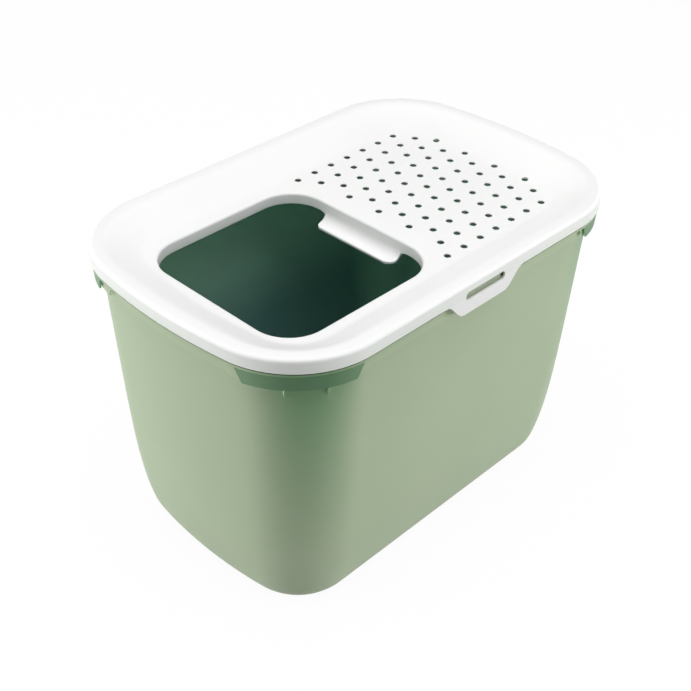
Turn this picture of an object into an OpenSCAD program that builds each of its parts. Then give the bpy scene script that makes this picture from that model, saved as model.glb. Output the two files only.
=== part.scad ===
// Top entry litter box: a deep tub, a dished lid with an entrance and vent holes, two latch tabs.
// Millimetres, +Z up. Origin: middle of the flat base, on the floor. +X points to the vented end,
// the entrance is at the -X end, and -Y is the front long side.

/* [Overall] */
// Length of the lid over its bowed ends
box_length = 585; // [480:1:680]
// Width of the lid over its long sides
box_width = 391; // [340:1:450]
// Height from the floor to the top of the lid rim
box_height = 395; // [300:1:480]
// Which piece to draw

/* [Tub] */
// Thickness of the tub wall and floor
tub_wall = 2.8; // [2:0.1:4]
// How far the tub wall starts inside the lid outline at the middle of a side
tub_inset = 11; // [9.5:0.5:14]
// Even inward lean of the wall from top to bottom
wall_lean = 19.5; // [8:0.5:24]
// Extra inward curve of the wall towards the floor
wall_belly = 18.5; // [8:0.5:24]
// How late that curve starts: higher keeps it nearer to the floor
belly_power = 6.8; // [3:0.1:8]
// Radius between the wall and the floor
floor_radius = 36; // [25:1:45]
// Height of the upright band at the top of the wall
band_height = 22; // [14:1:34]
// How far that band stands out from the wall
band_step = 1.2; // [0.6:0.1:2]
// Thickness of the rim flange
flange_thick = 2.6; // [2:0.1:4]
// How far the flange edge sits inside the lid outline
flange_inset = 1; // [0.6:0.1:2]
// Open gap between the lid skirt and the flange
flange_gap = 1.8; // [0.6:0.1:2.5]

/* [Corner lips] */
// Height of the lip that hangs from the flange at each corner
lip_drop = 18; // [10:0.5:20]
// Thickness of the corner lip
lip_thick = 2.4; // [1.6:0.1:3.5]
// Half angle that a corner lip covers at its top
lip_half_angle = 36; // [24:1:38]
// Lean of the two cut ends of a corner lip
lip_end_lean = 24; // [0:1:40]
// Thickness of the small ribs under a corner lip
rib_thick = 1.8; // [1.2:0.1:3]
// How far a rib reaches down the wall below the lip
rib_drop = 20; // [12:1:28]

/* [Lid] */
// Thickness of the lid
lid_wall = 2.5; // [2:0.1:3.5]
// Height of the outer skirt below the top of the rim
skirt_height = 16; // [13:0.5:22]
// Inward lean of the skirt over its height
skirt_lean = 0.9; // [0.2:0.1:2]
// Radius of the outer top edge
rim_radius = 4; // [3:0.5:6]
// Width of the rim up to the place where the dish begins
rim_width = 12; // [10:0.5:18]
// Depth of the dish below the rim
dish_depth = 22.5; // [8:0.5:24]
// Width of the slope between the rim and the dish floor
dish_slope = 52; // [50:1:56]
// Rounding where the rim turns into the slope
dish_top_round = 20; // [10:1:24]
// Rounding where the slope turns into the dish floor
dish_low_round = 24; // [10:1:28]

/* [Entrance] */
// Distance from the lid middle to the edge of the entrance on the vented side
entry_near_x = 10; // [0:0.5:20]
// Length of the entrance along the box
entry_length = 231.5; // [190:0.5:236]
// Width of the entrance across the box
entry_width = 238; // [180:1:244]
// Shift of the entrance across the box, towards the front when negative
entry_shift = -3; // [-6:0.5:6]
// Corner radius of the entrance
entry_radius = 46; // [30:1:60]
// Height of the lip that hangs round the entrance
entry_lip = 14.5; // [8:0.5:20]
// Rounding from the dish into the entrance
entry_round = 3; // [2:0.25:4]

/* [Entrance ledge] */
// Length of the ledge along the entrance edge
ledge_length = 122; // [80:1:140]
// How far the ledge reaches into the entrance
ledge_reach = 19; // [12:0.5:28]
// Depth of the ledge below the dish floor
ledge_depth = 23; // [21:0.5:32]
// Radius of the hollow between the wall and the ledge
ledge_hollow = 11; // [6:0.5:13]
// Radius of the two free corners of the ledge
ledge_corner = 13; // [6:0.5:16]

/* [Vents] */
// Diameter of a vent hole
vent_diameter = 8.5; // [5:0.25:9.5]
// Rows of vents across the box
vent_rows = 11; // [7:2:11]
// Vents in one row
vent_columns = 7; // [4:1:7]
// Spacing of the vents along a row
vent_pitch_x = 28.7; // [22:0.1:29]
// Spacing of the rows
vent_pitch_y = 24.2; // [18:0.1:24.4]
// Position of the first vent of an outer row
vent_first_x = 24.2; // [22:0.2:30]

/* [Latch tabs] */
// Length of the tab along its lower edge
tab_length = 68; // [50:1:90]
// Length of the curve from the lower edge to the skirt, at each end
tab_curve = 30; // [18:1:36]
// How far the tab hangs below the skirt
tab_drop = 22; // [12:0.5:26]
// Length of the slot in the tab
slot_length = 65; // [40:1:66]
// Height of the slot
slot_height = 10; // [6:0.5:11]
// Distance from the top of the rim to the top of the slot
slot_top = 10.8; // [10.4:0.2:12]
// Radius of the slot ends
slot_radius = 4.4; // [2:0.1:4.9]
// How far the catch on the tub stands out behind the slot
catch_out = 1.7; // [1:0.1:1.8]

/* [Fits] */
// Gap between the lid skirt and the upstand of the tub rim
skirt_fit = 1.6; // [1.5:0.1:2.5]
// Gap between a tab and the notch in the tub flange
notch_fit = 2; // [1:0.5:4]
// Gap between the back of a tab and the parts of the tub behind it
tab_fit = 0.6; // [0.4:0.1:1.2]

/* [Hidden] */
$fn = 96;
long_fn = 240;
// Outlines: half length, half width, then the centre of a corner arc seen from the centre of the
// bowed end: across, along, and straight (these three are sides of a right triangle)
lid_plan = [box_length / 2, box_width / 2, 84, 585, 591];
tub_plan = [box_length / 2 - tub_inset, box_width / 2 - tub_inset, 81, 521.755, 528.005];
corner_radius = corner_r(lid_plan);
skirt_z = box_height - skirt_height;
under_z = box_height - lid_wall;
dish_z = box_height - dish_depth;
dish_inset = rim_width + dish_slope;
flange_z = skirt_z - flange_gap;
flange_low = flange_z - flange_thick;
upstand_out = skirt_lean + lid_wall + skirt_fit;
upstand_in = upstand_out + tub_wall;
band_low = flange_z - band_height;
split_z = box_height - slot_top + 1.8;
// Places of the two ribs round each corner, as angles from the end of the box
rib_angles = [39.2, 65.4];
tab_low = skirt_z - tab_drop;
tab_half = tab_length / 2 + tab_curve;
side_y = box_width / 2;
entry_mid_x = entry_near_x - entry_length / 2;
tub_green = [0.62, 0.70, 0.56];
lid_white = [0.95, 0.95, 0.94];

// ---- outlines in plan: straight long sides, round corners, bowed ends, all tangent ----

function corner_r(p) = p[1] - p[2];
function end_r(p) = p[4] + corner_r(p);
function start_x(p) = p[0] - end_r(p);
function corner_x(p) = start_x(p) + p[3];
function corner_y(p) = p[2];
function end_angle(p) = atan2(p[2], p[3]);

// Solid area of an outline, moved inward by an inset
module plan_area(p, inset) {
    cx = corner_x(p);
    cy = corner_y(p);
    b = p[3];
    square([2 * cx, 2 * (p[1] - inset)], center = true);
    for (sx = [0, 1]) mirror([sx, 0]) {
        intersection() {
            translate([start_x(p), 0]) circle(end_r(p) - inset, $fn = long_fn);
            polygon([[cx, -cy], [cx + b, -2 * cy], [cx + b, 2 * cy], [cx, cy]]);
        }
        for (sy = [0, 1]) mirror([0, sy]) translate([cx, cy]) intersection() {
            circle(corner_r(p) - inset);
            polygon([[0, 0], [b, cy], [b, cy + b], [0, b]]);
        }
    }
}

// Carries a section round an outline; x of the section is 0 on the outline and negative inside it
module carry_round(p) {
    cx = corner_x(p);
    cy = corner_y(p);
    b = p[3];
    for (sx = [0, 1], sy = [0, 1]) mirror([sx, 0, 0]) mirror([0, sy, 0]) {
        translate([start_x(p), 0, 0]) intersection() {
            rotate_extrude(angle = 45, $fn = long_fn) translate([end_r(p), 0]) children();
            linear_extrude(600) polygon([[b, 0], [2 * b, 0], [2 * b, 2 * cy], [b, cy]]);
        }
        translate([cx, cy, 0]) intersection() {
            rotate_extrude(angle = 90) translate([corner_r(p), 0]) children();
            linear_extrude(600) polygon([[0, 0], [b, cy], [b, cy + b], [0, b]]);
        }
        translate([0, p[1], 0]) rotate([90, 0, 90]) linear_extrude(cx) children();
    }
}

// Points of an arc from angle a to angle b
function arc(x, y, r, a, b, n) =
    [for (i = [0:n]) [x + r * cos(a + (b - a) * i / n), y + r * sin(a + (b - a) * i / n)]];

// ---- tub ----

// Share of the way down the wall, and the inward offset of the wall there
function down(z) = (band_low - z) / band_low;
function wall_in(z) = wall_lean * down(z) + wall_belly * pow(down(z), belly_power);
function wall_tilt(z) =
    atan((wall_lean + wall_belly * belly_power * pow(down(z), belly_power - 1)) / band_low);
// The floor fillet takes over where its own slope is that of the wall
fillet_start = wall_tilt(0.75 * floor_radius);
fillet_top = floor_radius * (1 - sin(fillet_start));
fillet_x = wall_in(fillet_top) + floor_radius * cos(fillet_start);

module tub_wall_section() {
    levels = 12;
    // levels lie closer together towards the floor, where the wall curves most
    outer = [
        for (i = [0:levels - 1])
            let (z = fillet_top + (band_low - fillet_top) * pow(1 - i / levels, 1.7))
                [-wall_in(z), z]
    ];
    inner = [for (q = outer) [q[0] - tub_wall, q[1]]];
    bend_out = arc(-fillet_x, floor_radius, floor_radius, -fillet_start, -90, 8);
    bend_in = arc(-fillet_x, floor_radius, floor_radius - tub_wall, -fillet_start, -90, 8);
    up = len(bend_in) - 1;
    polygon(concat(
        [[band_step, flange_z + 0.6], [band_step, band_low + 4]],
        outer, bend_out,
        [for (i = [up:-1:0]) bend_in[i]],
        [for (i = [levels - 1:-1:0]) inner[i]],
        [[band_step - tub_wall, band_low + 4], [band_step - tub_wall, flange_z + 0.6]]
    ));
}

// Lip under the flange at one corner, with slanting ends
module corner_lip() {
    mid = (90 + end_angle(lid_plan)) / 2;
    r = corner_radius - flange_inset - 0.4;
    lip_low = flange_low - lip_drop;
    translate([corner_x(lid_plan), corner_y(lid_plan), 0]) rotate([0, 0, mid]) difference() {
        rotate([0, 0, -lip_half_angle]) rotate_extrude(angle = 2 * lip_half_angle)
            polygon([
                [r, flange_low + 0.6], [r - 1.2, lip_low], [r - 1.2 - lip_thick, lip_low],
                [r - lip_thick, flange_low + 0.6]
            ]);
        for (s = [-1, 1]) rotate([0, 0, s * lip_half_angle])
            translate([r, 0, flange_low]) rotate([-s * lip_end_lean, 0, 0])
                translate([-20, s > 0 ? 0 : -60, -60]) cube([40, 60, 60]);
    }
}

// Rib between a corner lip and the wall, at an angle round the corner
module corner_rib(a) {
    r = corner_radius - flange_inset - 2.4;
    low = flange_low - lip_drop;
    translate([corner_x(lid_plan), corner_y(lid_plan), 0]) rotate([90, 0, a])
        translate([0, 0, -rib_thick / 2]) linear_extrude(rib_thick) polygon([
            [r - 24, flange_low + 1], [r, flange_low + 1], [r, low + 1.5],
            [r - 3.5, low - 1.5], [r - 10.6, low - rib_drop], [r - 24, low - rib_drop]
        ]);
}

module tub_rim() {
    difference() {
        translate([0, 0, flange_low]) linear_extrude(flange_thick) difference() {
            plan_area(lid_plan, flange_inset);
            plan_area(tub_plan, 0.3);
        }
        for (s = [-1, 1]) translate([0, s * side_y, flange_low - 1])
            linear_extrude(flange_thick + 2)
                square([2 * (tab_half + notch_fit), 2 * (lid_wall + tab_fit)], center = true);
    }
    translate([0, 0, flange_z - 1]) linear_extrude(under_z - flange_z + 1) difference() {
        plan_area(lid_plan, upstand_out);
        plan_area(lid_plan, upstand_in);
    }
}

// Catch that shows through a slot
module catch() {
    long = slot_length - 8;
    low = box_height - slot_top - slot_height + 1;
    translate([-long / 2, side_y - upstand_out - 1, low])
        cube([long, 1 + catch_out, slot_height - 2.4]);
}

module tub() {
    color(tub_green) {
        carry_round(tub_plan) tub_wall_section();
        linear_extrude(tub_wall) plan_area(tub_plan, fillet_x);
        tub_rim();
        for (sx = [0, 1]) mirror([sx, 0, 0]) for (sy = [0, 1]) mirror([0, sy, 0]) {
            corner_lip();
            // the ribs stop inside the thickness of the wall
            difference() {
                for (a = rib_angles) corner_rib(a);
                translate([0, 0, flange_low - 90]) linear_extrude(100)
                    plan_area(tub_plan, tub_wall / 2);
            }
        }
        for (sy = [0, 1]) mirror([0, sy, 0]) catch();
    }
}

// ---- lid ----

// Angle of the straight part of the dish slope
slope_angle = 30;

module lid_section() {
    t = lid_wall;
    top_x = -skirt_lean - rim_radius;
    a = slope_angle;
    end_x = -dish_inset;
    rim = arc(top_x, box_height - rim_radius, rim_radius, 0, 90, 5);
    rim_in = arc(top_x, box_height - rim_radius, rim_radius - t, 90, 0, 3);
    crest = arc(-rim_width, box_height - dish_top_round, dish_top_round, 90, 90 + a, 5);
    crest_in = arc(-rim_width, box_height - dish_top_round, dish_top_round - t, 90 + a, 90, 5);
    foot = arc(end_x, dish_z + dish_low_round, dish_low_round, -90 + a, -90, 5);
    foot_in = arc(end_x, dish_z + dish_low_round, dish_low_round + t, -90, -90 + a, 5);
    polygon(concat(
        [[0, skirt_z]], rim, crest, foot, foot_in, crest_in, rim_in, [[-t, skirt_z]]
    ));
}

// Entrance outline, grown outward
module entry_area(grow) {
    r = entry_radius + grow;
    w = entry_length + 2 * grow;
    h = entry_width + 2 * grow;
    translate([entry_mid_x, entry_shift]) {
        square([w - 2 * r, h], center = true);
        square([w, h - 2 * r], center = true);
        for (x = [-1, 1], y = [-1, 1])
            translate([x * (w / 2 - r), y * (h / 2 - r)]) circle(r);
    }
}

// Lip round the entrance: x of its section is 0 on the entrance edge, positive outside it
module entry_lip_ring() {
    w = entry_length / 2 - entry_radius;
    h = entry_width / 2 - entry_radius;
    translate([entry_mid_x, entry_shift, 0]) {
        for (i = [0:3]) {
            sx = (i == 0 || i == 3) ? 1 : -1;
            sy = (i < 2) ? 1 : -1;
            translate([sx * w, sy * h, 0]) rotate([0, 0, 90 * i]) rotate_extrude(angle = 90)
                translate([entry_radius, 0]) entry_lip_section();
        }
        for (s = [0, 1]) mirror([0, s, 0])
            translate([-w, entry_width / 2, 0]) rotate([90, 0, 90])
                linear_extrude(2 * w) entry_lip_section();
        for (s = [0, 1]) mirror([s, 0, 0])
            translate([entry_length / 2, h, 0]) rotate([90, 0, 0])
                linear_extrude(2 * h) entry_lip_section();
    }
}

module entry_lip_section() {
    t = lid_wall;
    r = entry_round;
    low = dish_z - entry_lip;
    polygon(concat(
        [[0.8, low], [0, low + 0.8]],
        arc(r, dish_z - r, r, 180, 90, 4),
        [[r, dish_z - t], [t, dish_z - t - 0.6], [t, low]]
    ));
}

// Ledge that curls into the entrance on the vented side
module entry_ledge() {
    t = lid_wall;
    z = dish_z - ledge_depth;
    r = ledge_hollow;
    half = ledge_length / 2;
    join = dish_z - entry_lip;
    top = dish_z - entry_round - 1;
    translate([entry_near_x, entry_shift, 0]) {
        // deeper wall with a hollow turning into the ledge, ends rounded in plan
        intersection() {
            translate([0, half, 0]) rotate([90, 0, 0]) linear_extrude(2 * half) polygon(concat(
                [[t, top], [0, top]],
                arc(-r, z + r, r, 0, -90, 6),
                [[-ledge_reach, z + 0.7], [-ledge_reach - 0.6, z - 0.4],
                 [-ledge_reach, z - t + 0.3]],
                arc(-r, z + r, r + t, -90, 0, 6)
            ));
            translate([0, 0, z - t - 1]) linear_extrude(ledge_depth + t) union() {
                translate([-ledge_reach - 1 + ledge_corner, -half])
                    square([ledge_reach + 1 + t - ledge_corner, 2 * half]);
                translate([-ledge_reach - 1, -half + ledge_corner])
                    square([ledge_corner, 2 * (half - ledge_corner)]);
                for (s = [-1, 1])
                    translate([-ledge_reach - 1 + ledge_corner, s * (half - ledge_corner)])
                        circle(ledge_corner);
            }
        }
        // flowing corner between the lip and each end of the ledge wall
        for (s = [0, 1]) mirror([0, s, 0])
            translate([0, half, join]) rotate([90, 0, 90]) linear_extrude(t) difference() {
                translate([-1, -6]) square([7, 7]);
                translate([6, -6]) circle(6);
            }
    }
}

// Middle of each vent: rows sit at half steps, and the two outer rows start further back
function row_step(i) =
    (i == 0 || i == vent_rows - 1) ? 0 : (i % 2 == 0 ? 1.08 : 0.57);
module vents() {
    for (i = [0:vent_rows - 1], k = [0:vent_columns - 1])
        translate([
            vent_first_x + vent_pitch_x * (k + row_step(i)),
            vent_pitch_y * ((vent_rows - 1) / 2 - i), dish_z - 10
        ]) cylinder(d = vent_diameter, h = 20, $fn = 24);
}

module lid() {
    color(lid_white) {
        difference() {
            union() {
                carry_round(lid_plan) lid_section();
                translate([0, 0, dish_z - lid_wall]) linear_extrude(lid_wall)
                    plan_area(lid_plan, dish_inset);
            }
            vents();
            translate([0, 0, dish_z - 10]) linear_extrude(20) entry_area(entry_round);
            // room for the two latch tabs
            for (s = [-1, 1]) translate([-tab_half, s * side_y - 6, skirt_z - 5])
                cube([2 * tab_half, 12, split_z - skirt_z + 5]);
        }
        entry_lip_ring();
        entry_ledge();
    }
}

// ---- latch tabs: loops of the skirt that flex outward ----

function tab_edge(x) =
    abs(x) <= tab_length / 2 ? tab_low
    : tab_low + tab_drop * (1 - cos(180 * (abs(x) - tab_length / 2) / tab_curve)) / 2;

// A latch tab on the +Y side
module latch_tab() {
    steps = 12;
    lean = skirt_lean * (split_z - skirt_z) / (skirt_height - rim_radius);
    slot_mid = box_height - slot_top - slot_height / 2;
    intersection() {
        translate([-tab_half, side_y, 0]) rotate([90, 0, 90]) linear_extrude(2 * tab_half)
            polygon([
                [0, tab_low], [0, skirt_z], [-lean, split_z], [-lean - lid_wall, split_z],
                [-lid_wall, skirt_z], [-lid_wall, tab_low]
            ]);
        translate([0, side_y + 5, 0]) rotate([90, 0, 0]) linear_extrude(15) difference() {
            polygon(concat(
                [[tab_half, split_z], [-tab_half, split_z]],
                [for (i = [0:steps]) let (x = -tab_half + tab_curve * i / steps) [x, tab_edge(x)]],
                [for (i = [0:steps]) let (x = tab_length / 2 + tab_curve * i / steps) [x, tab_edge(x)]]
            ));
            translate([0, slot_mid]) slot_area();
        }
    }
}

module slot_area() {
    r = slot_radius;
    square([slot_length - 2 * r, slot_height], center = true);
    square([slot_length, slot_height - 2 * r], center = true);
    for (x = [-1, 1], y = [-1, 1])
        translate([x * (slot_length / 2 - r), y * (slot_height / 2 - r)]) circle(r, $fn = 32);
}

module front_latch_tab() {
    color(lid_white) mirror([0, 1, 0]) latch_tab();
}

module back_latch_tab() {
    color(lid_white) latch_tab();
}

tub();
lid();
front_latch_tab();
back_latch_tab();
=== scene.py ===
"""Top entry litter box: looks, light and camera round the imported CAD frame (metres, +Z up)."""
import math
from functools import partial

import bmesh
import bpy
from mathutils import Matrix, Vector


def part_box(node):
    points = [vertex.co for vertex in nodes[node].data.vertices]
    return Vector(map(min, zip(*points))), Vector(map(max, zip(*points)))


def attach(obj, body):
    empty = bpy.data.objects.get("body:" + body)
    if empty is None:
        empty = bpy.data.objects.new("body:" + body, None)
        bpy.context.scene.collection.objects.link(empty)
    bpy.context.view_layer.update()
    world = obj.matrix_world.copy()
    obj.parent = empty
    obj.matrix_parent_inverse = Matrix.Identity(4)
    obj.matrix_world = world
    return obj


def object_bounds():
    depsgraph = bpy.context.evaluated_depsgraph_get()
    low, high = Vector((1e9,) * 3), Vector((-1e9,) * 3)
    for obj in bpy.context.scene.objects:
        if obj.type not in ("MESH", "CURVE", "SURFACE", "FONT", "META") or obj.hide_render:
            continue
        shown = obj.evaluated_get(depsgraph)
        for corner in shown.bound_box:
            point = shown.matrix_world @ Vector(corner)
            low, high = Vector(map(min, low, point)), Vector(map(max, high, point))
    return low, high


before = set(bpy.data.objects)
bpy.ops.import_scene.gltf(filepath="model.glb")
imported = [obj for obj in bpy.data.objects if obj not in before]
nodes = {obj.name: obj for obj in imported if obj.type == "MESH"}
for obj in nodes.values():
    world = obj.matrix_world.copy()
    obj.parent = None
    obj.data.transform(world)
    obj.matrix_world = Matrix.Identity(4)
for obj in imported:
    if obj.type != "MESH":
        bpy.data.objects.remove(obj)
cad_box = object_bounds()
scene = bpy.context.scene

WHITE = (1, 1, 1, 1)

# heights above the floor, worked out downward from the top of the lid rim, and the top of a tab
TOP = cad_box[1][2]
SKIRT_LOW = TOP - 0.016
FLANGE_TOP = SKIRT_LOW - 0.0018
FLANGE_LOW = FLANGE_TOP - 0.0026
LIP_LOW = FLANGE_LOW - 0.018
WALL_BAND_LOW = FLANGE_LOW - 0.022
DISH_FLOOR = TOP - 0.0225
SLOT_LOW = TOP - 0.0208
TAB_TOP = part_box("front_latch_tab")[1][2]

# centre of the round corners of the rim in plan, and a radius just inside the corner lips
CORNER_X, CORNER_Y = 0.175, 0.084
LIP_INSIDE = 0.1068


# ---- node helpers ----

def new_material(name):
    mat = bpy.data.materials.new(name)
    mat.use_nodes = True
    tree = mat.node_tree
    tree.nodes.clear()
    return mat, tree


def feed(tree, socket, value):
    """Link a socket to another one, or set it to a number, colour or vector."""
    if isinstance(value, bpy.types.NodeSocket):
        tree.links.new(value, socket)
    else:
        socket.default_value = value


def add(tree, kind, **settings):
    """A new node; a setting is the name of an input, or else of a property of the node."""
    node = tree.nodes.new(kind)
    for key, value in settings.items():
        if key in node.inputs:
            feed(tree, node.inputs[key], value)
        else:
            setattr(node, key, value)
    return node


def math_node(tree, operation, a, b=0.0, clamp=False):
    node = add(tree, "ShaderNodeMath", operation=operation, use_clamp=clamp)
    feed(tree, node.inputs[0], a)
    feed(tree, node.inputs[1], b)
    return node.outputs[0]


def mix_colour(tree, factor, a, b, blend="MIX"):
    node = add(tree, "ShaderNodeMix", data_type="RGBA", blend_type=blend)
    for index, value in ((0, factor), (6, a), (7, b)):
        feed(tree, node.inputs[index], value)
    return node.outputs[2]


def tinted(tree, base, share, tint):
    """The base colour, times the tint as far as share goes from 0 to 1."""
    return mix_colour(tree, 1.0, base, mix_colour(tree, share, WHITE, tint), blend="MULTIPLY")


def span(tree, value, low, high):
    """Rises smoothly from 0 to 1 while the value goes from low to high."""
    node = add(tree, "ShaderNodeMapRange", interpolation_type="SMOOTHSTEP")
    feed(tree, node.inputs[0], value)
    feed(tree, node.inputs[1], low)
    feed(tree, node.inputs[2], high)
    return node.outputs[0]


def band(tree, value, low, high):
    """1 where the value lies between low and high, and 0 elsewhere."""
    return math_node(tree, "MULTIPLY", math_node(tree, "GREATER_THAN", value, low),
                     math_node(tree, "LESS_THAN", value, high))


def noise(tree, where, scale, detail, rough=0.5):
    node = add(tree, "ShaderNodeTexNoise", Vector=where, Scale=scale, Detail=detail, Roughness=rough)
    return node.outputs[0]


def parts_of(tree, vector):
    """The x, y and z of a vector socket."""
    node = add(tree, "ShaderNodeSeparateXYZ")
    feed(tree, node.inputs[0], vector)
    return node.outputs


def dot(tree, a, b):
    node = add(tree, "ShaderNodeVectorMath", operation="DOT_PRODUCT")
    feed(tree, node.inputs[0], a)
    feed(tree, node.inputs[1], b)
    return node.outputs["Value"]


# ---- tints of the tub, painted shade and light among them, by place and facing on the tub itself ----

# the inside, painted shade: its colour low down and high up, and the heights between which it
# changes
INSIDE_SHADED_LOW, INSIDE_SHADED_HIGH = (0.16, 0.31, 0.3, 1), (0.47, 0.75, 0.61, 1)
INSIDE_RISE = 0.14, 0.31
INWARD = -0.002                 # a wall faces the middle when place times facing is below this
FLOOR_FACING, FLOOR_REACH = 0.3, 0.06   # the floor looks up more than this, below this height

# the corners: painted shade outside and painted light within, how the share grows with the turn of
# the wall, and with the height
CORNER_SHADE_OUTSIDE, CORNER_LIGHT_WITHIN = (0.44, 0.66, 0.5, 1), (2.2, 2.0, 1.6, 1)
TURN_GAIN, TURN_BIAS, TURN_START, TURN_POWER = 1.9, 0.31, 0.3, 1.3
CORNER_START, CORNER_RISE, CORNER_MOST = 0.1, 0.23, 1.15

# the corner lips, painted shade: tints at the ends of a lip and in its middle, and where the lips
# are
LIP_SHADE_SIDE, LIP_SHADE_MIDDLE = (0.42, 0.6, 0.5, 1), (0.5, 0.62, 0.58, 1)
LIP_HEIGHTS = LIP_LOW - 0.0011, FLANGE_LOW - 0.0001
LIP_START_Y = 0.004             # they begin this far past a corner's centre, clear of the bowed end

# painted light: the upright band under the flange is made a little paler
BAND_LIGHT = (1.07, 1.06, 1.05, 1)
BAND_RISE = WALL_BAND_LOW + 0.0004, WALL_BAND_LOW + 0.0044

# the catch and the rim behind a latch slot
CATCH_TINT = (0.8, 0.78, 0.84, 1)
CATCH_HALF, CATCH_Y = 0.034, 0.1885
CATCH_HEIGHTS = SLOT_LOW - 0.0002, TAB_TOP

# painted shade on the upper face of the flange in the gap under the lid, and a darker edge of the
# flange
LEVEL = 0.5                     # a face that looks up more than this counts as level
GAP_SHADE, EDGE_TINT = (0.2, 0.25, 0.2, 1), (0.92, 0.94, 0.92, 1)
GAP_HEIGHTS = FLANGE_TOP - 0.0007, FLANGE_TOP + 0.0007
EDGE_HEIGHTS = FLANGE_LOW + 0.0001, FLANGE_TOP + 0.0001


def inside_share(tree, spot, facing):
    """1 on the walls that face the middle of the tub and on its floor."""
    in_plan = add(tree, "ShaderNodeVectorMath", operation="MULTIPLY")
    feed(tree, in_plan.inputs[0], spot)
    feed(tree, in_plan.inputs[1], (1, 1, 0))
    inward = math_node(tree, "LESS_THAN", dot(tree, in_plan.outputs[0], facing), INWARD)
    on_floor = math_node(
        tree, "MULTIPLY",
        math_node(tree, "GREATER_THAN", parts_of(tree, facing)[2], FLOOR_FACING),
        math_node(tree, "LESS_THAN", parts_of(tree, spot)[2], FLOOR_REACH))
    return math_node(tree, "MAXIMUM", inward, on_floor)


def corner_share(tree, facing, within):
    """0 on the sides, and up to 1 where the wall turns round a corner and on the inner ends."""
    m = partial(math_node, tree)
    along, across = (m("ABSOLUTE", parts_of(tree, facing)[axis]) for axis in (0, 1))
    turn = m("MULTIPLY", m("MULTIPLY", along, across), TURN_GAIN)
    bias = m("SUBTRACT", m("MULTIPLY", across, across), m("MULTIPLY", along, along))
    turn = m("ADD", turn, m("MULTIPLY", bias, TURN_BIAS))
    turn = m("DIVIDE", m("SUBTRACT", turn, TURN_START), 1 - TURN_START, clamp=True)
    ends = m("MULTIPLY", m("MULTIPLY", along, along), within)
    return m("MAXIMUM", m("POWER", turn, TURN_POWER), ends)


def lip_share(tree, x, y, z):
    """1 on the hanging corner lips, found by their distance from the centre of each corner."""
    m = partial(math_node, tree)
    off = [m("MAXIMUM", m("SUBTRACT", m("ABSOLUTE", place), centre), 0.0)
           for place, centre in ((x, CORNER_X), (y, CORNER_Y))]
    reach = m("ADD", m("MULTIPLY", off[0], off[0]), m("MULTIPLY", off[1], off[1]))
    lip = m("MULTIPLY", band(tree, z, *LIP_HEIGHTS), m("GREATER_THAN", reach, LIP_INSIDE ** 2))
    return m("MULTIPLY", lip, m("GREATER_THAN", off[1], LIP_START_Y))


def tub_tints(tree, base, spot, facing):
    m = partial(math_node, tree)
    x, y, z = parts_of(tree, spot)
    level = m("GREATER_THAN", parts_of(tree, facing)[2], LEVEL)

    # painted shade: the inside, darker towards the floor
    within = inside_share(tree, spot, facing)
    inside = mix_colour(tree, span(tree, z, *INSIDE_RISE), INSIDE_SHADED_LOW, INSIDE_SHADED_HIGH)
    base = mix_colour(tree, within, base, inside)

    # painted shade outside: the corners are darker and greener, most of all up high; painted light
    # inside: they and the end walls are paler
    turn = corner_share(tree, facing, within)
    high = m("DIVIDE", m("SUBTRACT", z, CORNER_START), CORNER_RISE)
    high = m("MINIMUM", m("MAXIMUM", high, within), CORNER_MOST)
    corner = mix_colour(tree, within, CORNER_SHADE_OUTSIDE, CORNER_LIGHT_WITHIN)
    base = tinted(tree, base, m("MULTIPLY", turn, high), corner)

    # painted shade darkens the corner lips, and painted light makes the upright band behind and
    # between them a little paler
    lip = lip_share(tree, x, y, z)
    base = tinted(tree, base, lip, mix_colour(tree, turn, LIP_SHADE_SIDE, LIP_SHADE_MIDDLE))
    upper = m("SUBTRACT", span(tree, z, *BAND_RISE), lip, clamp=True)
    upper = m("SUBTRACT", upper, within, clamp=True)
    base = tinted(tree, base, upper, BAND_LIGHT)

    # behind each slot the catch and the rim lie in shade
    catch = m("MULTIPLY", band(tree, x, -CATCH_HALF, CATCH_HALF),
              m("GREATER_THAN", m("ABSOLUTE", y), CATCH_Y))
    catch = m("MULTIPLY", catch, band(tree, z, *CATCH_HEIGHTS))
    base = tinted(tree, base, catch, CATCH_TINT)

    # painted shade in the gap under the lid, and the edge of the flange below it a little darker
    gap = m("MULTIPLY", band(tree, z, *GAP_HEIGHTS), level)
    base = tinted(tree, base, gap, GAP_SHADE)
    edge = m("SUBTRACT", band(tree, z, *EDGE_HEIGHTS), level, clamp=True)
    return tinted(tree, base, edge, EDGE_TINT)


# ---- tints of the lid and its latch tabs, painted shade among them ----

STEEP = 0.5                     # a face that looks up or down less than this counts as upright
VENT_SHADE, SKIRT_TINT = (0.12, 0.12, 0.13, 1), (0.93, 0.96, 0.92, 1)
VENT_HEIGHTS = DISH_FLOOR - 0.0035, DISH_FLOOR - 0.0013
VENT_START_X, VENT_REACH_Y = 0.018, 0.13
SKIRT_HEIGHTS = SKIRT_LOW - 0.0005, TOP - 0.0045


def lid_tints(tree, base, spot, facing):
    m = partial(math_node, tree)
    x, y, z = parts_of(tree, spot)
    upright = band(tree, parts_of(tree, facing)[2], -STEEP, STEEP)

    # painted shade: the lower part of each vent wall is darkened
    shaded = m("MULTIPLY", upright, band(tree, z, *VENT_HEIGHTS))
    among = m("MULTIPLY", m("GREATER_THAN", x, VENT_START_X),
              band(tree, y, -VENT_REACH_Y, VENT_REACH_Y))
    base = tinted(tree, base, m("MULTIPLY", shaded, among), VENT_SHADE)

    # painted shade: the upright skirt is a little darker and greener than the top
    skirt = m("MULTIPLY", upright, band(tree, z, *SKIRT_HEIGHTS))
    return tinted(tree, base, skirt, SKIRT_TINT)


# ---- moulded plastic ----

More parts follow.
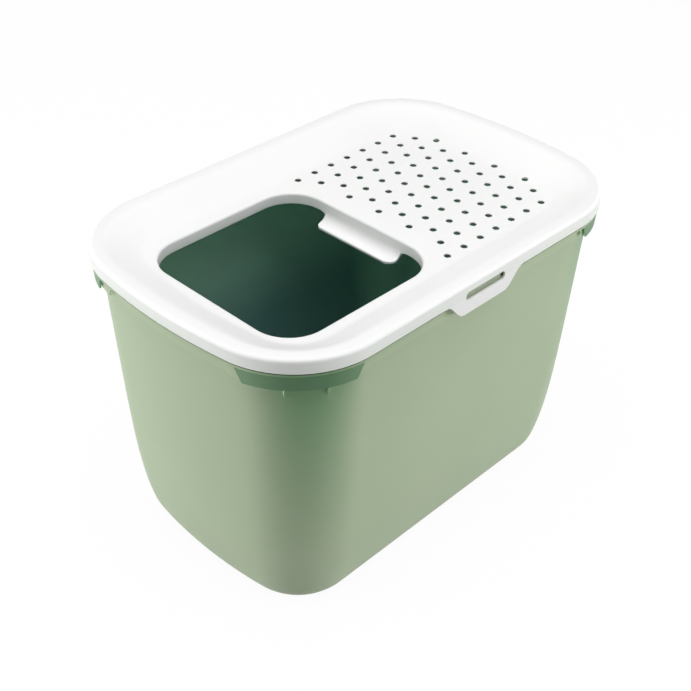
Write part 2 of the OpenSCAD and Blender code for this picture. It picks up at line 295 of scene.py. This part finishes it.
DRIFT_RANGE, RUB_RANGE = (0.3, 0.7), (0.45, 0.75)   # parts of a noise that are spread from 0 to 1
RUB_ROUGH, FINE_ROUGH = 0.06, 0.05
PORE_SHARE, SPECK_SHARE = 0.6, 0.6
GRAIN_DEPTH = 0.00006
WAVE_STRENGTH, WAVE_DEPTH = 0.25, 0.0006


def plastic(name, colours, roughness, specular, grain, tints):
    """Moulded plastic: slow drift between two colours, the tints of the piece with their painted
    shade and light, a fine spark-eroded grain and faint rubbing marks."""
    mat, tree = new_material(name)
    m = partial(math_node, tree)
    where = add(tree, "ShaderNodeTexCoord")
    spot, facing = where.outputs["Object"], where.outputs["Normal"]

    drift = noise(tree, spot, scale=5.0, detail=3.0)
    base = mix_colour(tree, span(tree, drift, *DRIFT_RANGE), *colours)
    base = tints(tree, base, spot, facing)

    # faint dull patches from handling, and a fine break-up of the gloss
    rub = span(tree, noise(tree, spot, scale=14.0, detail=6.0, rough=0.6), *RUB_RANGE)
    fine = noise(tree, spot, scale=420.0, detail=2.0)
    rough = m("ADD", m("MULTIPLY", rub, RUB_ROUGH), roughness - RUB_ROUGH / 2)
    rough = m("ADD", rough, m("MULTIPLY", fine, FINE_ROUGH))

    # the grain of the mould, and a slow waviness of the wall
    pores = add(tree, "ShaderNodeTexVoronoi", Vector=spot, Scale=950.0).outputs[0]
    specks = noise(tree, spot, scale=1600.0, detail=2.0)
    height = m("ADD", m("MULTIPLY", pores, PORE_SHARE), m("MULTIPLY", specks, SPECK_SHARE))
    grain_bump = add(tree, "ShaderNodeBump", Strength=grain, Distance=GRAIN_DEPTH, Height=height)
    wave = add(tree, "ShaderNodeBump", Strength=WAVE_STRENGTH, Distance=WAVE_DEPTH,
               Height=noise(tree, spot, scale=9.0, detail=1.0), Normal=grain_bump.outputs[0])

    shader = add(tree, "ShaderNodeBsdfPrincipled", Roughness=rough, Normal=wave.outputs[0])
    feed(tree, shader.inputs["Specular IOR Level"], specular)
    feed(tree, shader.inputs["Base Color"], base)
    out = add(tree, "ShaderNodeOutputMaterial")
    feed(tree, out.inputs[0], shader.outputs[0])
    return mat


tub_plastic = plastic(
    "sage_plastic", ((0.43, 0.525, 0.35, 1), (0.41, 0.51, 0.335, 1)),
    roughness=0.45, specular=0.35, grain=0.25, tints=tub_tints)
lid_plastic = plastic(
    "white_plastic", ((0.9, 0.9, 0.895, 1), (0.89, 0.895, 0.89, 1)),
    roughness=0.38, specular=0.3, grain=0.12, tints=lid_tints)


# ---- CAD nodes: smooth shading with crisp edges, by a modifier ----

CRISP_ANGLE = math.radians(34)
WELD = 0.00001


def crisp_group():
    """Smooth shading, with a crease at each edge that is sharper than CRISP_ANGLE."""
    group = bpy.data.node_groups.new("crisp_edges", "GeometryNodeTree")
    group.interface.new_socket("Geometry", in_out="INPUT", socket_type="NodeSocketGeometry")
    group.interface.new_socket("Geometry", in_out="OUTPUT", socket_type="NodeSocketGeometry")
    into = add(group, "NodeGroupInput")
    out = add(group, "NodeGroupOutput")
    clear = add(group, "GeometryNodeRemoveAttribute", Name="custom_normal")
    weld = add(group, "GeometryNodeMergeByDistance", Distance=WELD)
    smooth = add(group, "GeometryNodeSetShadeSmooth", domain="FACE")
    crease = add(group, "GeometryNodeSetShadeSmooth", domain="EDGE")
    feed(group, crease.inputs["Shade Smooth"], False)
    angle = add(group, "GeometryNodeInputMeshEdgeAngle")
    over = add(group, "FunctionNodeCompare", data_type="FLOAT", operation="GREATER_THAN")
    feed(group, over.inputs[0], angle.outputs[0])
    feed(group, over.inputs[1], CRISP_ANGLE)
    feed(group, clear.inputs[0], into.outputs[0])
    feed(group, weld.inputs[0], clear.outputs[0])
    feed(group, smooth.inputs[0], weld.outputs[0])
    feed(group, crease.inputs[0], smooth.outputs[0])
    feed(group, crease.inputs["Selection"], over.outputs[0])
    feed(group, out.inputs[0], crease.outputs[0])
    return group


crisp = crisp_group()
for name, node in nodes.items():
    node.data.materials.clear()
    node.data.materials.append(tub_plastic if name == "tub" else lid_plastic)
    node.modifiers.new("crisp_edges", "NODES").node_group = crisp


# ---- set-back strips behind the corner lips, ending against the wall ----

STRIP_RADIUS = 0.1062                               # outer face at the top, from a corner's centre
STRIP_THICK = 0.0014
STRIP_LEAN = 0.0012                                 # how far it leans in towards its lower edge
STRIP_TOP, STRIP_LOW = FLANGE_LOW + 0.0006, LIP_LOW
STRIP_START, STRIP_STOP, STRIP_SLANT = 3, 87, 4     # degrees; the slant is that of the cut ends
STRIP_STEPS = 40
STRIP_BEVEL = 0.0003


def strip_row(mesh, side_x, side_y, share):
    """The four corners of a strip's section, at a share of the way along its arc."""
    low_radius = STRIP_RADIUS - STRIP_LEAN
    row = []
    for radius, height, slant in (
            (STRIP_RADIUS, STRIP_TOP, 0), (low_radius, STRIP_LOW, STRIP_SLANT),
            (low_radius - STRIP_THICK, STRIP_LOW, STRIP_SLANT),
            (STRIP_RADIUS - STRIP_THICK, STRIP_TOP, 0)):
        arc = STRIP_STOP - STRIP_START - 2 * slant
        angle = math.radians(STRIP_START + slant + arc * share)
        row.append(mesh.verts.new((side_x * (CORNER_X + radius * math.cos(angle)),
                                   side_y * (CORNER_Y + radius * math.sin(angle)), height)))
    return row


def corner_strips(name):
    """Thin curved strips round the four corners of the rim."""
    mesh = bmesh.new()
    for side_x in (-1, 1):
        for side_y in (-1, 1):
            rows = [strip_row(mesh, side_x, side_y, step / STRIP_STEPS)
                    for step in range(STRIP_STEPS + 1)]
            mesh.faces.new(rows[0])
            mesh.faces.new(rows[-1])
            for one, two in zip(rows, rows[1:]):
                for k in range(4):
                    after = (k + 1) % 4
                    mesh.faces.new((one[k], one[after], two[after], two[k]))
    bmesh.ops.recalc_face_normals(mesh, faces=mesh.faces)
    data = bpy.data.meshes.new(name)
    mesh.to_mesh(data)
    mesh.free()
    strips = bpy.data.objects.new(name, data)
    scene.collection.objects.link(strips)
    data.materials.append(tub_plastic)
    edge = strips.modifiers.new("soft_edges", "BEVEL")
    edge.width, edge.segments = STRIP_BEVEL, 2
    strips.modifiers.new("crisp_edges", "NODES").node_group = crisp
    return strips


strips = corner_strips("corner_lip_strips")
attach(strips, "tub")


# ---- floor: white to the camera, grey paper to the light, and it keeps the shadow ----

FLOOR_SIZE = 40.0
PAPER = (0.46, 0.46, 0.46, 1)
FLOOR_GLOW, FLOOR_SEEN = 1.06, 0.9

bpy.ops.mesh.primitive_plane_add(size=FLOOR_SIZE, location=(0, 0, 0))
floor = bpy.context.object
floor.name = "floor"
floor_mat, tree = new_material("floor_white")
rays = add(tree, "ShaderNodeLightPath").outputs
seen = math_node(tree, "MAXIMUM", rays["Is Camera Ray"],
                 math_node(tree, "MAXIMUM", rays["Is Glossy Ray"], rays["Is Transmission Ray"]))
paper = add(tree, "ShaderNodeBsdfDiffuse", Color=PAPER)
glow = add(tree, "ShaderNodeEmission", Color=WHITE, Strength=FLOOR_GLOW)
mixed = add(tree, "ShaderNodeMixShader")
feed(tree, mixed.inputs[0], math_node(tree, "MULTIPLY", seen, FLOOR_SEEN))
feed(tree, mixed.inputs[1], paper.outputs[0])
feed(tree, mixed.inputs[2], glow.outputs[0])
feed(tree, add(tree, "ShaderNodeOutputMaterial").inputs[0], mixed.outputs[0])
floor.data.materials.append(floor_mat)


# ---- room: white to the camera; it lights the object from above and from both sides ----

# directions in plan as the camera sees the object
CAM_AZ, CAM_EL, CAM_ROLL = math.radians(-46.046), math.radians(36.551), math.radians(0.991)
to_right = Vector((math.cos(CAM_AZ), math.sin(CAM_AZ), 0))
to_camera = Vector((math.sin(CAM_AZ), -math.cos(CAM_AZ), 0))

ROOM_LIGHT, SIDE_LIGHT, ABOVE_LIGHT = 0.05, 0.2, 0.75

world = bpy.data.worlds.new("studio")
scene.world = world
world.use_nodes = True
tree = world.node_tree
tree.nodes.clear()
way = add(tree, "ShaderNodeTexCoord").outputs["Generated"]
sides = math_node(tree, "POWER", math_node(tree, "ABSOLUTE", dot(tree, way, to_right)), 2.0)
above = math_node(tree, "MAXIMUM", parts_of(tree, way)[2], 0.0)
above = math_node(tree, "POWER", above, 2.0)
room = math_node(tree, "ADD", math_node(tree, "MULTIPLY", sides, SIDE_LIGHT), ROOM_LIGHT)
room = math_node(tree, "ADD", math_node(tree, "MULTIPLY", above, ABOVE_LIGHT), room)
rays = add(tree, "ShaderNodeLightPath").outputs
seen = math_node(tree, "MAXIMUM", rays["Is Camera Ray"], rays["Is Transmission Ray"])
sky = add(tree, "ShaderNodeBackground", Color=WHITE,
          Strength=math_node(tree, "MAXIMUM", room, seen))
feed(tree, add(tree, "ShaderNodeOutputWorld").inputs[0], sky.outputs[0])


# ---- lamps ----

def softbox(name, place, aim, size, watts):
    data = bpy.data.lights.new(name, "AREA")
    data.shape = "RECTANGLE"
    data.size, data.size_y = size
    data.energy = watts
    lamp = bpy.data.objects.new(name, data)
    scene.collection.objects.link(lamp)
    lamp.location = place
    lamp.rotation_mode = "QUATERNION"
    lamp.rotation_quaternion = (aim - place).to_track_quat("-Z", "Y")


TUB_MIDDLE, LID_MIDDLE = Vector((0, 0, 0.2)), Vector((0, 0, 0.4))
LAMP_ASIDE, LAMP_FORWARD, LAMP_ABOVE = 2.35, 0.3, 2.5
SIDE_SIZE, TOP_SIZE = (1.2, 1.0), (2.2, 2.2)

aside, forward = to_right * LAMP_ASIDE, to_camera * LAMP_FORWARD
softbox("left_box", TUB_MIDDLE - aside + forward, TUB_MIDDLE, SIDE_SIZE, watts=43)
softbox("right_box", TUB_MIDDLE + aside + forward, TUB_MIDDLE, SIDE_SIZE, watts=35)
softbox("top_box", forward + Vector((0, 0, LAMP_ABOVE)), LID_MIDDLE, TOP_SIZE, watts=36)


# ---- camera: fitted to the outline of the lid and of the tub ----

TARGET = Vector((-0.007367, 0.004474, 0.1975))
DISTANCE = 1.49824
FOCAL_PX, IMAGE_PX = 1200.86, 691

cam_data = bpy.data.cameras.new("camera")
cam_data.sensor_width = 36.0
cam_data.lens = FOCAL_PX / IMAGE_PX * cam_data.sensor_width
cam_data.clip_start, cam_data.clip_end = 0.02, 60.0
camera = bpy.data.objects.new("camera", cam_data)
scene.collection.objects.link(camera)
scene.camera = camera
back = to_camera * math.cos(CAM_EL) + Vector((0, 0, math.sin(CAM_EL)))
level_up = back.cross(to_right)
right = to_right * math.cos(CAM_ROLL) + level_up * math.sin(CAM_ROLL)
up = back.cross(right)
facing = Matrix((right, up, back)).transposed().to_4x4()
camera.matrix_world = Matrix.Translation(TARGET + back * DISTANCE) @ facing

scene.view_settings.view_transform = "Standard"
